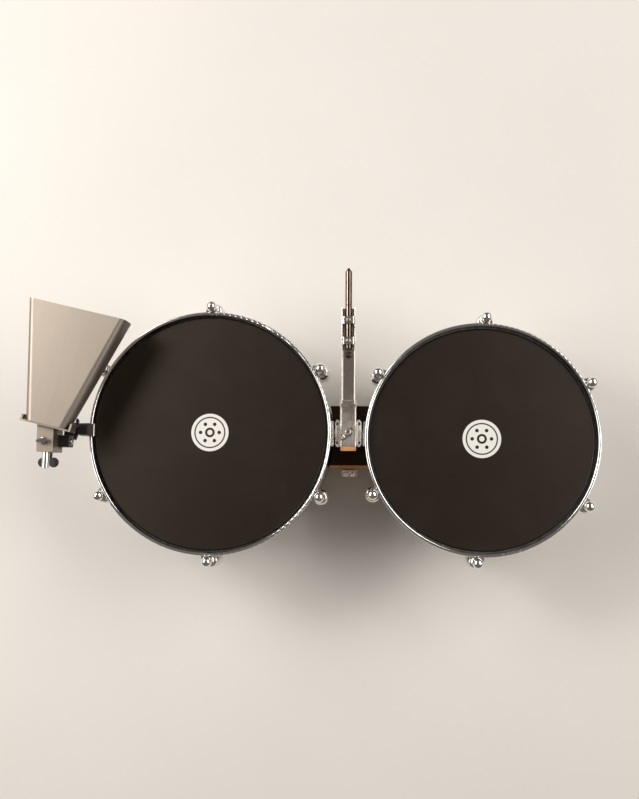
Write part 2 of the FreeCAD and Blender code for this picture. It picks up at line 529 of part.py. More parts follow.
def build_arm():
    """Fixed base channel, folding arm channel, the rod in its saddles and the wing screw."""
    base = channel(BASE_HALF_X, CLAMP_TOP, BASE_WALL_Z, *BASE_Y)
    base = base.cut(rod(FOLD_PIN_R + RUN, VEC(-20, FOLD_Y, FOLD_Z), VEC(20, FOLD_Y, FOLD_Z)))
    base = base.cut(rod(3.2, VEC(0, WING_Y, 140), VEC(0, WING_Y, 156)))
    save("base_channel", base)
    plug = prism_z(rectangle(11.8, 3.0), [1.2] * 4, CLAMP_TOP + 0.4, CLAMP_TOP + 7.0)
    save("channel_end_plug", shifted(plug, VEC(0, -23.6, 0)))
    shaft = rod(FOLD_PIN_R, VEC(-BASE_HALF_X, FOLD_Y, FOLD_Z), VEC(BASE_HALF_X, FOLD_Y, FOLD_Z))
    heads = [aimed(turned([(0, 0), (4.2, 0), (4.2, 0.9), (2.2, 1.8), (0, 1.8)], [0, 0, 0.5, 0.6, 0]),
                   VEC(side * BASE_HALF_X, FOLD_Y, FOLD_Z), VEC(side, 0, 0)) for side in (-1, 1)]
    save("fold_pin", shaft.fuse(heads[0]).fuse(heads[1]).removeSplitter())

    arm = channel(ARM_HALF_X, ARM_FLOOR_Z, ARM_WALL_Z, FOLD_Y, ARM_END_Y)
    arm = arm.cut(box((-9.15, 9.15), (FOLD_Y - 1, 51.0), (ARM_FLOOR_Z - 1, ARM_FLOOR_Z + 2.4)))
    arm = arm.cut(box((-15, 15), (FOLD_Y - 1, 54.0), (ARM_FLOOR_Z - 1, ARM_FLOOR_Z + 0.3)))
    for side in (-1, 1):
        x_out = side * ARM_HALF_X
        x_in = side * (ARM_HALF_X - CHANNEL_T)
        eye = rod(5.2, VEC(min(x_in, x_out), FOLD_Y, FOLD_Z), VEC(max(x_in, x_out), FOLD_Y, FOLD_Z))
        tongue = prism_z([(side * 3.4 - 1.5, ARM_END_Y - 1), (side * 3.4 + 1.5, ARM_END_Y - 1),
                          (side * 3.4 + 1.5, ARM_END_Y + 2.4), (side * 3.4 - 1.5, ARM_END_Y + 2.4)],
                         [0, 0, 1.2, 1.2], ARM_FLOOR_Z, ARM_FLOOR_Z + CHANNEL_T)
        arm = arm.fuse(eye).fuse(tongue)
    arm = arm.cut(box((-15, 15), (FOLD_Y - 6, FOLD_Y), (FOLD_Z + 5.2, 170)))
    arm = arm.cut(rod(FOLD_PIN_R + RUN, VEC(-20, FOLD_Y, FOLD_Z), VEC(20, FOLD_Y, FOLD_Z)))
    arm = arm.cut(rod(2.55, VEC(0, STOP_Y, 150), VEC(0, STOP_Y, 156)))
    floor_z = ARM_FLOOR_Z + CHANNEL_T
    saddles = []
    screws = []
    for y in SADDLE_Y:
        saddle = prism_y([(-9.0, floor_z), (9.0, floor_z), (9.0, SADDLE_TOP), (-9.0, SADDLE_TOP)],
                         [0.8, 0.8, 2.5, 2.5], y - 5.5, y + 5.5)
        saddle = saddle.cut(rod(ARM_ROD_R + RUN, VEC(0, y - 9, ARM_ROD_Z), VEC(0, y + 9, ARM_ROD_Z)))
        saddle = saddle.cut(rod(2.0, VEC(0, y, 160), VEC(0, y, 170)))
        saddles.append(saddle)
        screws.append(shifted(dome_screw(3.6, 2.6, 1.95, 2.8), VEC(0, y, SADDLE_TOP)))
    save("arm_channel", arm.removeSplitter())
    save("rod_saddles", saddles)
    save("saddle_screws", screws)
    stop = dome_screw(5.2, 4.0, SCREW_R, 6.0)
    save("arm_stop_screw", shifted(stop, VEC(0, STOP_Y, floor_z)))
    nut_t = 3.6
    corners = [around(Part.Vertex(4.6, 0, 0), 60 * index).Point for index in range(7)]
    nut = Part.Face(Part.makePolygon(corners)).extrude(UP * nut_t)
    nut = nut.cut(rod(SCREW_R, -UP, UP * 5))
    save("arm_stop_nut", shifted(nut, VEC(0, STOP_Y, ARM_FLOOR_Z - nut_t)))
    low, high = ARM_ROD_Y
    bar = turned([(0, low), (ARM_ROD_R - 0.8, low), (ARM_ROD_R, low + 0.8), (ARM_ROD_R, ROD_MARK_Y),
                  (ARM_ROD_R - 0.4, ROD_MARK_Y + 0.4), (ARM_ROD_R - 0.4, ROD_MARK_Y + 1.6),
                  (ARM_ROD_R, ROD_MARK_Y + 2.0), (ARM_ROD_R, high - ROD_POINT), (0.8, high), (0, high)])
    save("accessory_rod", aimed(bar, VEC(0, 0, ARM_ROD_Z), VEC(0, 1, 0)))
    collar = 5.0
    shank = rod(3.0, VEC(0, 0, -26.0), VEC(0, 0, 0.5)).fuse(rod(5.0, VEC(0, 0, -collar), VEC(0, 0, 0.5)))
    wing = wing_grip(32.0, 13.0, 4.6, 5.6, 11.0, dish_r=2.6).fuse(shank).removeSplitter()
    save("arm_wing_screw", shifted(around(wing, 44.0), VEC(0, WING_Y, CLAMP_TOP + CHANNEL_T + 0.4 + collar)))


# --- cowbell --------------------------------------------------------------------------------
def bell_section(along, inset):
    """Rounded-rectangle wire across the bell; its top side stays level."""
    part = along / BELL_LENGTH
    spans = (BELL_CLOSED_SIZE + (BELL_SOFT[0],), BELL_MOUTH + (BELL_SOFT[1],))
    width, depth, corner = [small + (large - small) * part for small, large in zip(*spans)]
    half = width / 2 - inset
    soft = corner - inset
    points = [(-half, -depth + inset), (half, -depth + inset), (half, -inset), (-half, -inset)]
    wire = stand_up(rounded_outline(points, [soft] * 4)).OuterWire
    wire.translate(VEC(0, along, 0))
    return wire


def in_bell_frame(shape):
    """Place a shape drawn with the closed end's top edge at the origin."""
    return shifted(around(shape, BELL_YAW), BELL_CLOSED)


def build_bell():
    """Cowbell with the flange and clamp box on its closed end, and everything that tilts with it."""
    outer = Part.makeLoft([bell_section(0, 0), bell_section(BELL_LENGTH, 0)], True, True)
    inner = Part.makeLoft([bell_section(BELL_T + 0.5, BELL_T), bell_section(BELL_LENGTH + 10, BELL_T)],
                          True, True)
    bell = outer.cut(inner)
    rivet_spots = [(-14.0, -13.5), (14.0, -13.5)]
    for x, z in rivet_spots:
        bell = bell.cut(rod(2.1, VEC(x, -5, z), VEC(x, 5, z)))
    save("bell_shell", in_bell_frame(bell))

    fold = FLANGE_HALF - 2.5
    back = prism_y([(-fold, -27.0), (fold, -27.0), (fold, -1.0), (-fold, -1.0)], [1.5] * 4, -2.6, -0.1)
    left_end = prism_x([(-2.6, -24.0), (7.0, -22.0), (7.0, -4.0), (-2.6, -1.0)], [0, 2, 2, 0], -FLANGE_HALF,
                       0.5 - fold)
    right_end = prism_x([(-2.6, -26.0), (11.0, -23.0), (11.0, -4.0), (-2.6, -1.0)], [0, 3, 3, 0], fold - 0.5,
                        FLANGE_HALF)
    flange = back.fuse(left_end).fuse(right_end)
    for x, z in rivet_spots:
        flange = flange.cut(rod(2.1, VEC(x, -5, z), VEC(x, 5, z)))
    flange = in_bell_frame(flange.removeSplitter())
    save("bell_flange", flange)
    rivets = []
    for x, z in rivet_spots:
        head = turned([(0, 0), (3.6, 0), (3.6, 0.7), (1.8, 1.6), (0, 1.6)], [0, 0, 0.3, 0.5, 0])
        rivet = aimed(head, VEC(x, 2.05, z), VEC(0, 1, 0)).fuse(rod(2.05, VEC(x, -2.5, z), VEC(x, 2.1, z)))
        rivets.append(in_bell_frame(rivet.removeSplitter()))
    save("flange_rivets", rivets)

    plan = [(BOX_X[0], BOX_Y[0]), (BOX_X[1], BOX_Y[0]), (BOX_X[1], BOX_Y[1]), (BOX_X[0], BOX_Y[1])]
    holder = prism_z(plan, [1.5, 1.5, 0, 0], *BOX_Z)
    behind = in_bell_frame(box((-60, 60), (-2.65, 60), (-80, 40)))
    holder = holder.cut(behind)
    hole_end = VEC(BELL_ROD.x, BELL_ROD_Y[1] + 0.3, BELL_ROD.z)
    holder = holder.cut(rod(ARM_ROD_R + RUN, VEC(BELL_ROD.x, -60, BELL_ROD.z), hole_end))
    holder = holder.cut(rod(3.0 + RUN, KNOB - VEC(0, 5, 0), KNOB + VEC(0, 22, 0)))
    key = VEC(BELL_ROD.x - 0.5, -16.8, BOX_Z[1])
    holder = holder.cut(rod(2.5 + RUN, key - UP * 6, key + UP * 2))
    holder = holder.cut(rod(2.5 + RUN, LINK_SCREW + VEC(-438, 0, 0), LINK_SCREW + VEC(-430, 0, 0)))
    save("bell_clamp_box", holder.removeSplitter())

    key_screw = rod(2.5, VEC(0, 0, -6.0), VEC(0, 0, 1))
    key_screw = key_screw.fuse(turned([(0, 0.3), (5.2, 0.3), (5.2, 2.4), (0, 2.4)], [0, 0.3, 0.9, 0]))
    key_screw = key_screw.fuse(prism_z(rectangle(2.9, 2.9), [0.6] * 4, 2.0, 9.0))
    key_screw = key_screw.fuse(prism_z(rectangle(8.0, 2.0), [1.6] * 4, 4.2, 8.2)).removeSplitter()
    save("box_key_screw", shifted(around(key_screw, 8.0), key))
    rod_end = VEC(BELL_ROD.x, BELL_ROD_Y[0], BELL_ROD.z)
    short = rod(ARM_ROD_R, rod_end, VEC(BELL_ROD.x, BELL_ROD_Y[1], BELL_ROD.z))
    rims = [edge for edge in short.Edges if edge.Closed]
    save("bell_rod", short.makeChamfer(0.9, rims))
    shank = rod(3.0, VEC(0, 0, -20.0), VEC(0, 0, 0.5))
    wing = lobed_grip(15.6, 7.4, 21.5, 6.0, 5.8, 13.0).fuse(shank).removeSplitter()
    save("bell_rod_wing_screw", aimed(wing, KNOB + VEC(0, -0.6, 0), VEC(0, -1, 0)))

    disc = prism_x([(PIVOT.y - 10.2, PIVOT.z - 10.2), (PIVOT.y + 10.2, PIVOT.z - 10.2),
                    (PIVOT.y + 10.2, PIVOT.z + 10.2), (PIVOT.y - 10.2, PIVOT.z + 10.2)], [9.8] * 4,
                   -424.0, -411.8)
    link = prism_x([(-25.0, 186.0), (PIVOT.y, PIVOT.z - 10.2), (PIVOT.y, PIVOT.z + 10.2), (-25.0, 204.0)],
                   [3, 0, 0, 3], -424.0, LINK_FACE)
    lug = prism_x([(-25.0, 186.0), (-7.0, 186.0), (-7.0, 204.0), (-25.0, 204.0)], [3] * 4, BOX_X[1], LINK_FACE)
    tilter = disc.fuse(link).fuse(lug)
    tilter = tilter.cut(rod(3.0 + RUN, VEC(-440, PIVOT.y, PIVOT.z), VEC(-400, PIVOT.y, PIVOT.z)))
    tilter = tilter.cut(rod(2.5, LINK_SCREW + VEC(-436, 0, 0), LINK_SCREW + VEC(-400, 0, 0)))
    save("tilter_link", tilter.removeSplitter())
    cross = aimed(dome_screw(4.4, 2.8, 2.5, 23.0), LINK_SCREW + VEC(LINK_FACE, 0, 0), VEC(1, 0, 0))
    save("tilter_link_screw", cross)


def build_rim_clamp():
    """Clamp on the large drum's rim: chrome jaw, black arm, pivot bolt, wing nut, pinch screw."""
    y_span = (PIVOT.y - 9.4, PIVOT.y + 9.4)
    jaw = prism_y([(-403.0, 150.0), (-399.6, 150.0), (-399.6, 174.2), (-389.2, 174.2), (-389.2, 168.2),
                   (-385.6, 168.2), (-385.6, 178.2), (-403.0, 178.2)],
                  [1.5, 0.5, 1, 0.5, 0.5, 0.8, 1.5, 1.5], *y_span)
    jaw = jaw.cut(rod(3.0 + RUN, VEC(-410, PIVOT.y, PINCH_Z), VEC(-395, PIVOT.y, PINCH_Z)))
    for y in (PIVOT.y - 6, PIVOT.y + 6):
        sink = turned([(0, 174.0), (3.2, 174.0), (1.55, 176.0), (1.55, 180.0), (0, 180.0)])
        jaw = jaw.cut(shifted(sink, VEC(-396, y, 0)))
    save("rim_clamp_jaw", jaw.removeSplitter())
    arm = prism_x([(y_span[0], 178.2), (y_span[1], 178.2), (y_span[1], 200.0), (y_span[0], 200.0)],
                  [0.6, 0.6, 7, 7], -402.6, -390.0)
    arm = arm.cut(rod(3.0, VEC(-405, PIVOT.y, PIVOT.z), VEC(-391.5, PIVOT.y, PIVOT.z)))
    for y in (PIVOT.y - 6, PIVOT.y + 6):
        arm = arm.cut(rod(1.5, VEC(-396, y, 177), VEC(-396, y, 184)))
    save("rim_clamp_arm", arm)
    flush = turned([(0, 174.2), (3.0, 174.2), (1.5, 175.9), (1.5, 183.0), (0, 183.0)])
    save("rim_clamp_arm_screws", [shifted(flush, VEC(-396, y, 0)) for y in (PIVOT.y - 6, PIVOT.y + 6)])
    bolt = rod(3.0, VEC(-427.0, PIVOT.y, PIVOT.z), VEC(-391.6, PIVOT.y, PIVOT.z))
    head = aimed(turned([(0, 0), (5.2, 0), (5.2, 1.6), (3.0, 3.0), (0, 3.0)], [0, 0, 0.6, 0.8, 0]),
                 VEC(-424.3, PIVOT.y, PIVOT.z), VEC(-1, 0, 0))
    save("tilt_pivot_bolt", bolt.fuse(head).removeSplitter())
    nut = wing_grip(33.0, 7.8, 5.4, 6.8, 7.4, bore_r=3.0 + RUN)
    nut = around(nut, 107.0)
    save("tilt_wing_nut", aimed(nut, VEC(-403.2, PIVOT.y, PIVOT.z), VEC(-1, 0, 0)))
    pinch = rod(3.0, VEC(-414.0, PIVOT.y, PINCH_Z), VEC(-392.6, PIVOT.y, PINCH_Z))
    thumb = aimed(turned([(0, 0), (7.5, 0), (7.5, 6.5), (0, 6.5)], [0, 1.0, 1.0, 0]),
                  VEC(-408.5, PIVOT.y, PINCH_Z), VEC(-1, 0, 0))
    for step in range(16):
        notch = rod(0.9, VEC(-420, PIVOT.y + 7.9, PINCH_Z), VEC(-400, PIVOT.y + 7.9, PINCH_Z))
        notch.rotate(VEC(0, PIVOT.y, PINCH_Z), VEC(1, 0, 0), step * 22.5)
        thumb = thumb.cut(notch)
    save("rim_clamp_screw", pinch.fuse(thumb).removeSplitter())


def main():
    os.makedirs("parts", exist_ok=True)
    for name, drum in DRUMS.items():
        build_drum(name, drum)
    build_centre()
    build_arm()
    build_bell()
    build_rim_clamp()


main()
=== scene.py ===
# %% [markdown]
# # Timbales with a cowbell
#
# Two shallow steel drums hang on one centre clamp. The drummer stands on the near side, a folding
# arm with a rod points away behind the clamp, and a cowbell is clamped to the larger drum's rim.
#
# All hard parts come from the CAD frame with their exact sizes. This script gives them their
# finishes: chrome plate, black film, brushed steel, powder coat, lacquer and bare wood. It adds the
# small things that a CAD part leaves out, such as screw threads, brushing lines and rubbed edges.

# %% Load the frame
import bpy
import json
import math
from mathutils import Matrix, Vector


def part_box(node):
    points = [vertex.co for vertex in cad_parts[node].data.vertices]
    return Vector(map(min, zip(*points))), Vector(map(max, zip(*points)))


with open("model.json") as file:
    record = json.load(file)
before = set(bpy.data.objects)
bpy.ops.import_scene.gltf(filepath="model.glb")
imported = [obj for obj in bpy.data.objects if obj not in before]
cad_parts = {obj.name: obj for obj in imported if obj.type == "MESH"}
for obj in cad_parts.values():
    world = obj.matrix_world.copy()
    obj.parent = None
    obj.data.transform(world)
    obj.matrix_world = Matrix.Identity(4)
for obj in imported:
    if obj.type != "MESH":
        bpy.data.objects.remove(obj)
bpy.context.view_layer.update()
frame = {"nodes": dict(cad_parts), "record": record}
NODES = frame["nodes"]

# %% [markdown]
# ## Camera
#
# The drums are seen from almost straight above, as a picture for a shop shows them. A camera has
# two halves: where it stands and how it is turned. The turn is written here as the three directions
# of the camera's own axes, because a nearly vertical view is hard to reach with a look-at rule,
# which loses its sense of "up" when it looks down.

# %% Camera
CAMERA_PLACE = Vector((0.03953, -0.09069, 1.50095))
CAMERA_RIGHT = Vector((0.99809, 0.00712, -0.06133))
CAMERA_UP = Vector((-0.00062, 0.99445, 0.10521))
LENS_MM = 39.97


def add_camera():
    """A camera at the given place, squared up from its right and up directions."""
    data = bpy.data.cameras.new("camera")
    data.lens = LENS_MM
    data.sensor_width = 36.0
    data.clip_start = 0.02
    camera = bpy.data.objects.new("camera", data)
    bpy.context.scene.collection.objects.link(camera)
    right = CAMERA_RIGHT.normalized()
    back = right.cross(CAMERA_UP).normalized()
    up = back.cross(right)
    turn = Matrix((right, up, back)).transposed()
    camera.matrix_world = Matrix.Translation(CAMERA_PLACE) @ turn.to_4x4()
    bpy.context.scene.camera = camera
    return camera


camera = add_camera()
print("camera looks along", [round(v, 3) for v in camera.matrix_world.to_3x3() @ Vector((0, 0, -1))])

# %% [markdown]
# ## Helpers for node trees
#
# Every finish below is a small network of shader nodes. Two helpers keep that short: one adds a
# node and sets its sockets, the other makes a node group with named inputs and outputs. A group is
# built once and placed in many materials, each with its own values.

# %% Node helpers


def add_node(tree, kind, place=(0, 0), settings=None, **sockets):
    """New node of a kind; settings are its properties, sockets are values or links by name."""
    node = tree.nodes.new(kind)
    node.location = place
    for key, value in (settings or {}).items():
        setattr(node, key, value)
    for key, value in sockets.items():
        socket = node.inputs[int(key[1:])] if key[0] == "_" else node.inputs[key.replace("_", " ")]
        if isinstance(value, bpy.types.NodeSocket):
            tree.links.new(value, socket)
        else:
            socket.default_value = value
    return node


def do_math(tree, operation, first, second=0.0, third=0.0, clamp=False):
    """Output of one Math node."""
    node = add_node(tree, "ShaderNodeMath", settings={"operation": operation, "use_clamp": clamp},
                    _0=first, _1=second, _2=third)
    return node.outputs[0]


def do_vector(tree, operation, first, second=(0.0, 0.0, 0.0)):
    """Output of one Vector Math node: the vector, or the number for LENGTH and DOT_PRODUCT."""
    node = add_node(tree, "ShaderNodeVectorMath", settings={"operation": operation}, _0=first, _1=second)
    return node.outputs["Value"] if operation in ("LENGTH", "DOT_PRODUCT", "DISTANCE") else node.outputs["Vector"]


def ramp_between(tree, value, low, high, out_low=0.0, out_high=1.0):
    """Number mapped smoothly from the range low..high to out_low..out_high."""
    node = add_node(tree, "ShaderNodeMapRange", settings={"interpolation_type": "SMOOTHSTEP"},
                    _0=value, _1=low, _2=high, _3=out_low, _4=out_high)
    return node.outputs[0]


def blend_colour(tree, amount, first, second):
    """Colour mixed from first to second by amount."""
    node = add_node(tree, "ShaderNodeMix", settings={"data_type": "RGBA"}, _0=amount, _6=first, _7=second)
    return node.outputs[2]


def noise_field(tree, vector, scale, detail=2.0, rough=0.5):
    """Value of a noise texture."""
    node = add_node(tree, "ShaderNodeTexNoise", Vector=vector, Scale=scale, Detail=detail, Roughness=rough)
    return node.outputs[0]


def add_bump(tree, shader, height, strength, distance, invert=False):
    """Surface height fed to a shader's normal; distance is the height in metres of a full value."""
    bump = add_node(tree, "ShaderNodeBump", settings={"invert": invert}, Strength=strength, Distance=distance,
                    Height=height)
    tree.links.new(bump.outputs[0], shader.inputs["Normal"])


def object_place(tree):
    """Texture coordinates fixed to the piece, in metres."""
    return add_node(tree, "ShaderNodeTexCoord", (-1200, 0)).outputs["Object"]


def new_group(name, inputs, outputs):
    """Empty shader group; inputs are (label, default), outputs are labels."""
    group = bpy.data.node_groups.new(name, "ShaderNodeTree")
    for label, default in inputs:
        kind = "NodeSocketVector" if isinstance(default, tuple) else "NodeSocketFloat"
        group.interface.new_socket(name=label, in_out="INPUT", socket_type=kind).default_value = default
    for label in outputs:
        group.interface.new_socket(name=label, in_out="OUTPUT", socket_type="NodeSocketFloat")
    entry = group.nodes.new("NodeGroupInput")
    leave = group.nodes.new("NodeGroupOutput")
    return group, entry.outputs, leave.inputs


def place_group(tree, group, **values):
    """One use of a group in a material."""
    node = tree.nodes.new("ShaderNodeGroup")
    node.node_tree = group
    for key, value in values.items():
        socket = node.inputs[key.replace("_", " ")]
        if isinstance(value, bpy.types.NodeSocket):
            tree.links.new(value, socket)
        else:
            socket.default_value = value
    return node.outputs


print("helpers ready")

# %% [markdown]
# ## Effect: handling marks
#
# Plated metal is never evenly shiny. Hands leave broad soft smudges, and cloths leave hairline
# scratches. The smudge is low-frequency noise. A hairline is noise stretched a hundred times along
# one direction and cut off high, so only thin streaks remain; two directions cross each other.

# %% Handling marks group


def build_handling_marks():
    """Broad smudges and crossed hairline scratches."""
    group, given, result = new_group("handling_marks", [("Smudge Size", 0.05), ("Line Density", 900.0)],
                                     ["Smudge", "Lines"])
    place = object_place(group)
    size = do_math(group, "DIVIDE", 1.0, given["Smudge Size"])
    cloud = noise_field(group, place, size, 4.0, 0.55)
    group.links.new(ramp_between(group, cloud, 0.42, 0.68), result["Smudge"])
    streaks = []
    for turn, skew in ((0.5, 0.06), (2.1, 0.045)):
        tilted = add_node(group, "ShaderNodeMapping", Vector=place, Rotation=(0.3 * turn, 0.7, turn),
                          Scale=(1.0, skew, 1.0))
        fine = noise_field(group, tilted.outputs[0], given["Line Density"], 1.0, 0.4)
        gate = noise_field(group, place, 30.0, 1.0, 0.5)
        line = ramp_between(group, fine, 0.66, 0.72)
        streaks.append(do_math(group, "MULTIPLY", line, ramp_between(group, gate, 0.45, 0.6)))
    group.links.new(do_math(group, "MAXIMUM", streaks[0], streaks[1]), result["Lines"])
    return group


HANDLING_MARKS = build_handling_marks()
print("group:", HANDLING_MARKS.name)

# %% [markdown]
# ## Effect: worn edge
#
# Paint and lacquer thin out first on edges. The Bevel node gives a normal that is softened near an
# edge. Where it differs from the true normal, there is an edge close by. Noise breaks the mask up,
# because an even bright line round every edge looks drawn.

# %% Worn edge group


def build_worn_edge():
    """Broken line along every edge."""
    group, given, result = new_group("worn_edge", [("Width", 0.0008), ("Break Up", 300.0)], ["Edge"])
    soft = add_node(group, "ShaderNodeBevel", settings={"samples": 4}, Radius=given["Width"])
    true = add_node(group, "ShaderNodeNewGeometry").outputs["Normal"]
    match = do_vector(group, "DOT_PRODUCT", soft.outputs[0], true)
    near = ramp_between(group, match, 0.985, 0.80)
    patches = noise_field(group, object_place(group), given["Break Up"], 3.0, 0.6)
    group.links.new(do_math(group, "MULTIPLY", near, ramp_between(group, patches, 0.38, 0.60)), result["Edge"])
    return group


WORN_EDGE = build_worn_edge()
print("group:", WORN_EDGE.name)

# %% [markdown]
# ## Effect: brushed lines
#
# A brushed surface is rubbed in one direction with a coarse belt. The scratches are so fine that
# they show as streaks in the reflection. Noise is squeezed across the stroke and stretched along
# it. "Turn" is the direction of the stroke, as an angle about Z.

# %% Brushed lines group


def build_brushed_lines():
    """Fine and broad streaks along one direction."""
    group, given, result = new_group("brushed_lines", [("Turn", 0.0), ("Fineness", 1800.0), ("Stretch", 0.012)],
                                     ["Lines", "Bands"])
    place = object_place(group)
    spin = add_node(group, "ShaderNodeCombineXYZ", Z=do_math(group, "MULTIPLY", given["Turn"], -1.0))
    turned = add_node(group, "ShaderNodeMapping", Vector=place, Rotation=spin.outputs[0]).outputs[0]
    squeeze = add_node(group, "ShaderNodeCombineXYZ", X=1.0, Y=given["Stretch"], Z=1.0).outputs[0]
    stroke = do_vector(group, "MULTIPLY", turned, squeeze)
    fine = noise_field(group, stroke, given["Fineness"], 3.0, 0.65)
    broad = noise_field(group, stroke, do_math(group, "MULTIPLY", given["Fineness"], 0.30), 2.0, 0.5)
    group.links.new(fine, result["Lines"])
    group.links.new(broad, result["Bands"])
    return group


BRUSHED_LINES = build_brushed_lines()
print("group:", BRUSHED_LINES.name)

# %% [markdown]
# ## Effect: orange peel
#
# Cast or painted metal carries a faint waviness under its gloss. Rolled sheet has the same thing on
# a larger scale. One noise height, fed to a Bump node, gives both.

# %% Orange peel group


def build_orange_peel():
    """Faint even waviness."""
    group, given, result = new_group("orange_peel", [("Wave Size", 0.002)], ["Height"])
    place = object_place(group)
    scale = do_math(group, "DIVIDE", 1.0, given["Wave Size"])
    wave = noise_field(group, place, scale, 2.0, 0.5)
    group.links.new(wave, result["Height"])
    return group


ORANGE_PEEL = build_orange_peel()
print("group:", ORANGE_PEEL.name)

# %% [markdown]
# ## Effect: painted crevice shade
#
# Folds, the undersides of flanges and the places round screws get painted shade: darker colour that
# stands in for contact shadows. The Ambient Occlusion node tells how closed in a point is. Its answer
# is turned round, so 1 means a deep crevice, and broken up with noise.

# %% Crevice shade group


def build_crevice_shade():
    """Painted shade where a point is closed in."""
    group, given, result = new_group("crevice_shade", [("Reach", 0.006), ("Break Up", 260.0)], ["Dirt"])
    open_air = add_node(group, "ShaderNodeAmbientOcclusion", settings={"samples": 6}, Distance=given["Reach"])
    closed = ramp_between(group, open_air.outputs["AO"], 0.85, 0.35)
    patches = noise_field(group, object_place(group), given["Break Up"], 3.0, 0.6)
    group.links.new(do_math(group, "MULTIPLY", closed, ramp_between(group, patches, 0.20, 0.55, 0.6, 1.0)),
                    result["Dirt"])
    return group


CREVICE_SHADE = build_crevice_shade()
print("group:", CREVICE_SHADE.name)

# %% [markdown]
# ## Effect: screw thread
#
# A thread on a thin rod reads as fine even ridges. The distance along the rod is divided by the
# pitch and folded back and forth, which gives a ridge for every turn. Modelled threads would need
# thousands of faces for a ridge 0.3 mm deep; a height in the finish costs nothing. The same fold is
# also used for colour: the grooves are painted darker and made duller.

# %% Screw thread group


def build_screw_thread():
    """Ridges along Z between two heights."""
    group, given, result = new_group("screw_thread", [("Pitch", 0.0012), ("Start", -1.0), ("End", 1.0)],
                                     ["Height", "Threaded"])
    axes = add_node(group, "ShaderNodeSeparateXYZ", _0=object_place(group)).outputs
    turns = do_math(group, "DIVIDE", axes["Z"], given["Pitch"])
    ridge = do_math(group, "PINGPONG", turns, 0.5)
    above = ramp_between(group, do_math(group, "SUBTRACT", axes["Z"], given["Start"]), 0.0, 0.001)
    below = ramp_between(group, do_math(group, "SUBTRACT", given["End"], axes["Z"]), 0.0, 0.001)
    inside = do_math(group, "MULTIPLY", above, below)
    group.links.new(do_math(group, "MULTIPLY", ridge, inside), result["Height"])
    group.links.new(inside, result["Threaded"])
    return group


SCREW_THREAD = build_screw_thread()
print("group:", SCREW_THREAD.name)

# %% [markdown]
# ## Chrome plate
#
# Chrome is a mirror: metallic 1 and a very low roughness. What makes it look real is what changes
# over it, so the colour is dulled slightly under the smudges, the roughness rises there and on the
# hairlines, and a slight waviness bends the reflections. Each part gets its own amounts: the
# rolled shell is wavy, the tuning balls are nearly perfect.

# %% Chrome maker
# Colour of the painted shade in crevices, where parts meet.
CREVICE_SHADE_COLOUR = (0.055, 0.045, 0.038, 1)


def start_material(name):
    """Material with a Principled shader; returns material, tree and shader."""
    material = bpy.data.materials.new(name)
    material.use_nodes = True
    tree = material.node_tree
    shader = tree.nodes["Principled BSDF"]
    shader.location = (400, 0)
    return material, tree, shader


def make_chrome(name, clean, dull, polish=0.05, smudged=0.16, smudge_size=0.05, wave=0.03, wave_depth=0.02):
    """Plated metal: clean and dull are its two colours."""
    material, tree, shader = start_material(name)
    marks = place_group(tree, HANDLING_MARKS, Smudge_Size=smudge_size)
    shade_mask = place_group(tree, CREVICE_SHADE)["Dirt"]
    tint = do_math(tree, "MULTIPLY", marks["Smudge"], 0.6)
    plate = blend_colour(tree, tint, clean, dull)
    # Painted shade: the plate colour is darkened where the occlusion mask is high; the same mask also raises the
    # roughness.
    tree.links.new(blend_colour(tree, do_math(tree, "MULTIPLY", shade_mask, 0.40), plate, CREVICE_SHADE_COLOUR), shader.inputs["Base Color"])
    shader.inputs["Metallic"].default_value = 1.0
    crevice_adjusted = do_math(tree, "MULTIPLY_ADD", shade_mask, 0.12, polish)
    lift = do_math(tree, "MULTIPLY_ADD", marks["Smudge"], smudged - polish, crevice_adjusted)
    rough = do_math(tree, "MULTIPLY_ADD", marks["Lines"], 0.16, lift, clamp=True)
    tree.links.new(rough, shader.inputs["Roughness"])
    waves = place_group(tree, ORANGE_PEEL, Wave_Size=wave)
    add_bump(tree, shader, waves["Height"], wave_depth, 0.004)
    return material


CHROME = {
    "chrome_shell": make_chrome("chrome_shell", (0.86, 0.84, 0.81, 1), (0.74, 0.72, 0.69, 1), 0.07, 0.16, 0.08,
                                0.045, 0.10),
    "chrome_rim": make_chrome("chrome_rim", (0.90, 0.88, 0.86, 1), (0.78, 0.76, 0.74, 1), 0.08, 0.20, 0.03,
                              0.020, 0.05),
    "chrome_cast": make_chrome("chrome_cast", (0.86, 0.83, 0.79, 1), (0.70, 0.67, 0.63, 1), 0.12, 0.24, 0.02,
                               0.004, 0.05),
    "chrome_sheet": make_chrome("chrome_sheet", (0.86, 0.80, 0.74, 1), (0.66, 0.59, 0.53, 1), 0.07, 0.18, 0.025,
                                0.035, 0.05),
    "chrome_rod": make_chrome("chrome_rod", (0.88, 0.87, 0.85, 1), (0.74, 0.72, 0.70, 1), 0.06, 0.14, 0.02),
    "chrome_ball": make_chrome("chrome_ball", (0.93, 0.91, 0.89, 1), (0.80, 0.78, 0.76, 1), 0.03, 0.10, 0.012),
    # A dark warm copy of the chrome for the accessory rod: a painted reflection of the dark room above it.
    "chrome_painted_dark": make_chrome("chrome_painted_dark", (0.15, 0.115, 0.095, 1), (0.10, 0.075, 0.060, 1), 0.08, 0.16, 0.015,
                               0.006, 0.03),
    "warm_plate": make_chrome("warm_plate", (0.94, 0.86, 0.73, 1), (0.66, 0.55, 0.40, 1), 0.09, 0.20, 0.012,
                              0.004, 0.04),
}
print("chrome finishes:", ", ".join(CHROME))

# %% [markdown]
# ## Threaded tuning rods
#
# The tuning rods are plated like the rest but threaded, so light breaks up along them. They get a
# finish of their own from the screw thread effect: bright crests, grooves painted darker, and a height
# that bends the reflections. The thread fades out smoothly at both ends of the rod.

# %% Threaded rods
THREAD_PITCH = 0.0012
THREAD_ENDS = (0.108, 0.172)


